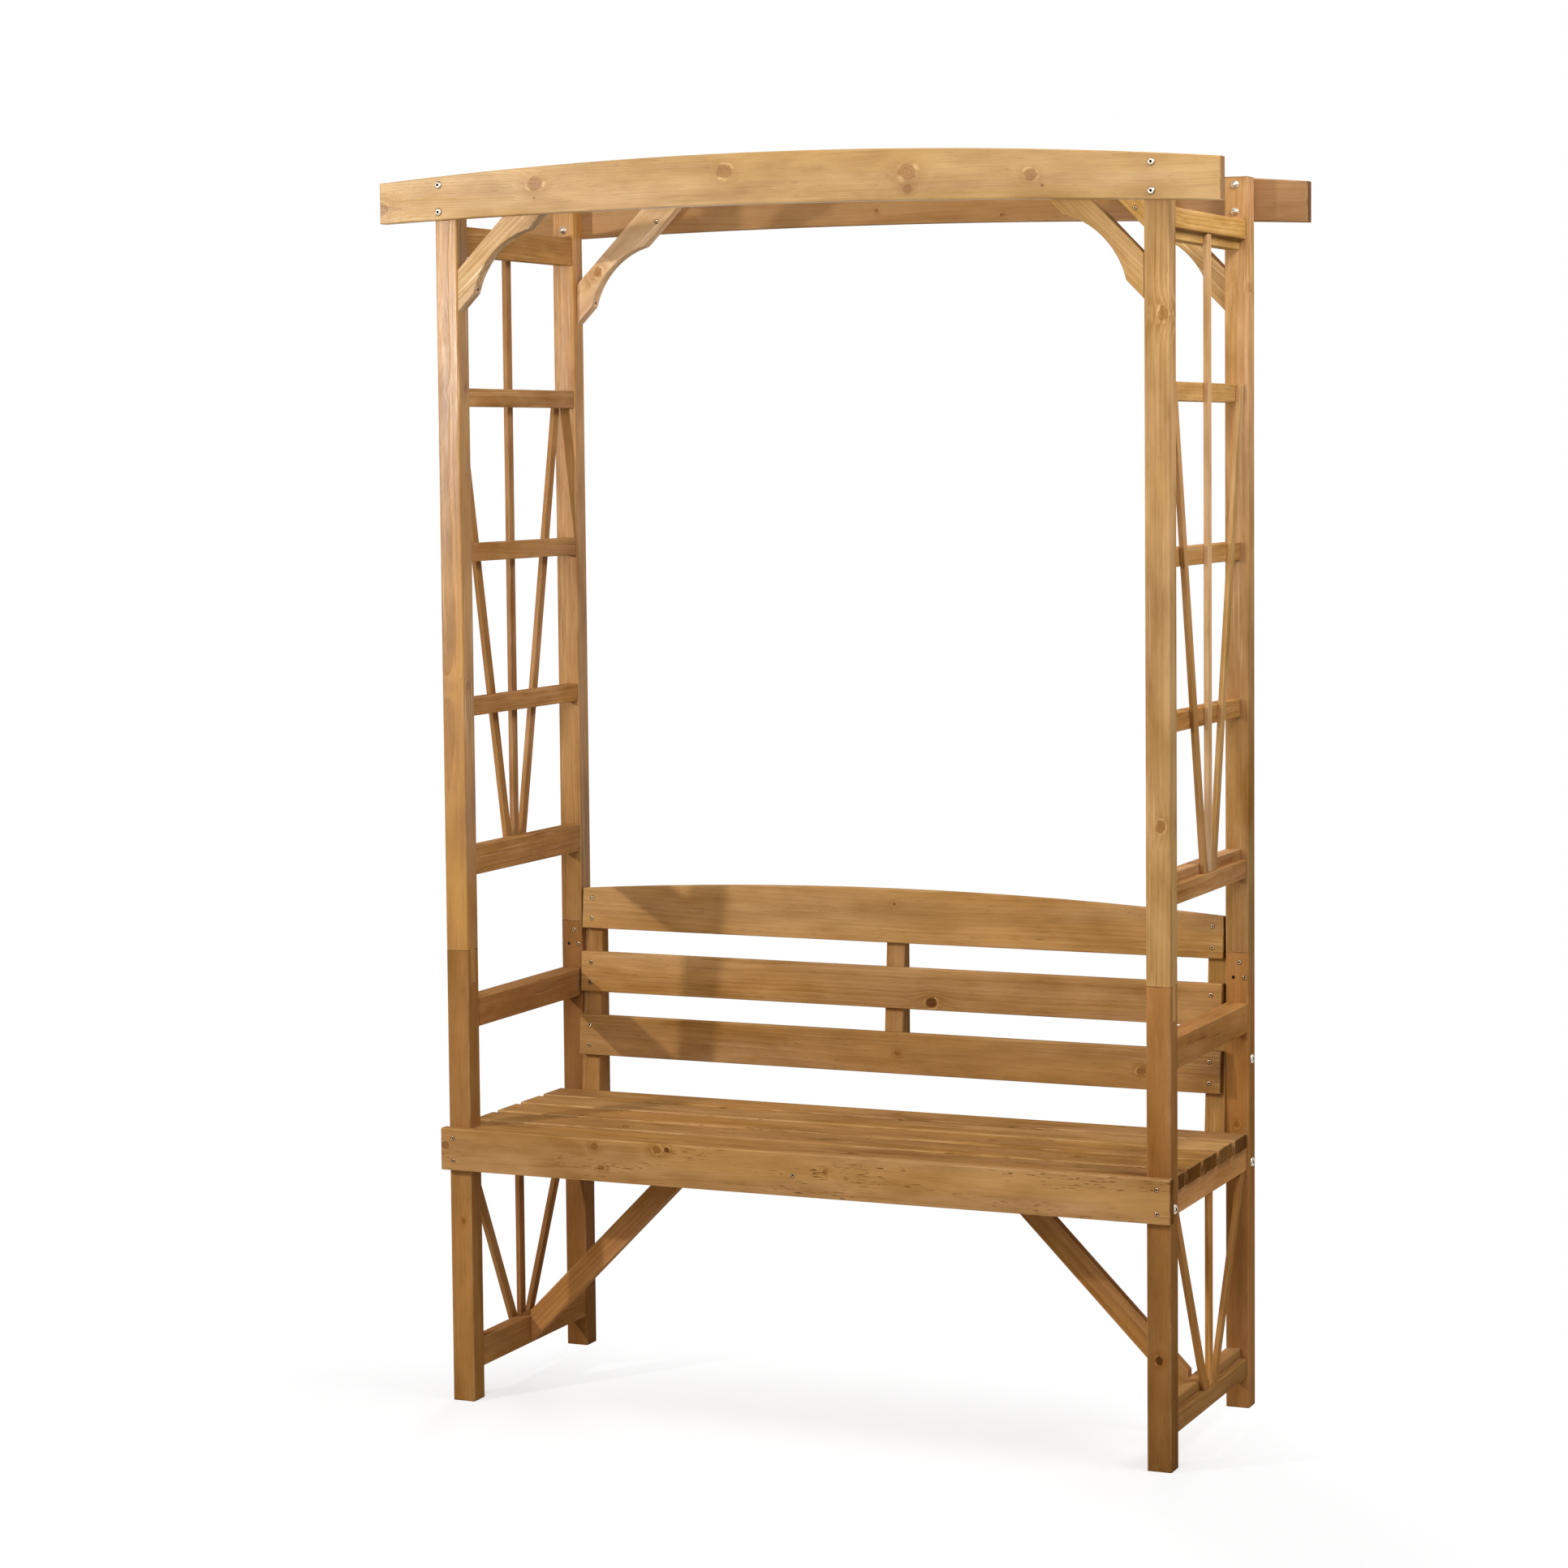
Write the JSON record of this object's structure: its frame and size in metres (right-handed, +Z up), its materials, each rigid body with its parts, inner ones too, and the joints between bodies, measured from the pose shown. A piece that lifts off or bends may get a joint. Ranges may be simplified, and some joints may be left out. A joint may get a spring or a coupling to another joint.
{
  "type": "arbour seat",
  "caption": "Garden bench built into a tall timber arch, with arched beams, knee braces, fan trellis sides, armrests and a slatted seat and back.",
  "frame": {"origin": "on the ground, below the middle of the frame", "axes": "+Z up, front of the seat towards -Y, +X to the right of someone who looks at the front"},
  "size_m": [1.448, 0.4744, 2.05],
  "materials": {
    "stained_pine": "satin honey-brown wood stain",
    "zinc_steel": "zinc-plated screws and bolts"
  },
  "bodies": {
    "root": {"apron": "stained_pine", "armrest_left": "stained_pine", "armrest_right": "stained_pine", "back_board_1": "stained_pine", "back_board_2": "stained_pine", "back_board_3": "stained_pine", "back_support_centre": "stained_pine", "back_support_left": "stained_pine", "back_support_right": "stained_pine", "front_beam": "stained_pine", "knee_brace_front_left": "stained_pine", "knee_brace_front_right": "stained_pine", "knee_brace_rear_left": "stained_pine", "knee_brace_rear_right": "stained_pine", "leg_front_slat_left": "stained_pine", "leg_front_slat_right": "stained_pine", "leg_rear_slat_left": "stained_pine", "leg_rear_slat_right": "stained_pine", "leg_upright_slat_left": "stained_pine", "leg_upright_slat_right": "stained_pine", "lower_post_front_left": "stained_pine", "lower_post_front_right": "stained_pine", "lower_post_rear_left": "stained_pine", "lower_post_rear_right": "stained_pine", "rear_beam": "stained_pine", "seat_bearer_centre": "stained_pine", "seat_bearer_left": "stained_pine", "seat_bearer_right": "stained_pine", "seat_board_1": "stained_pine", "seat_board_2": "stained_pine", "seat_board_3": "stained_pine", "seat_board_4": "stained_pine", "seat_board_5": "stained_pine", "seat_brace_left": "stained_pine", "seat_brace_right": "stained_pine", "seat_rail_left": "stained_pine", "seat_rail_right": "stained_pine", "stretcher_left": "stained_pine", "stretcher_right": "stained_pine", "trellis_bar_1_left": "stained_pine", "trellis_bar_1_right": "stained_pine", "trellis_bar_2_left": "stained_pine", "trellis_bar_2_right": "stained_pine", "trellis_bar_3_left": "stained_pine", "trellis_bar_3_right": "stained_pine", "trellis_bottom_rail_left": "stained_pine", "trellis_bottom_rail_right": "stained_pine", "trellis_front_slat_left": "stained_pine", "trellis_front_slat_right": "stained_pine", "trellis_rear_slat_left": "stained_pine", "trellis_rear_slat_right": "stained_pine", "trellis_top_rail_left": "stained_pine", "trellis_top_rail_right": "stained_pine", "trellis_upright_slat_left": "stained_pine", "trellis_upright_slat_right": "stained_pine", "upper_post_front_left": "stained_pine", "upper_post_front_right": "stained_pine", "upper_post_rear_left": "stained_pine", "upper_post_rear_right": "stained_pine"}
  },
  "joints": []
}
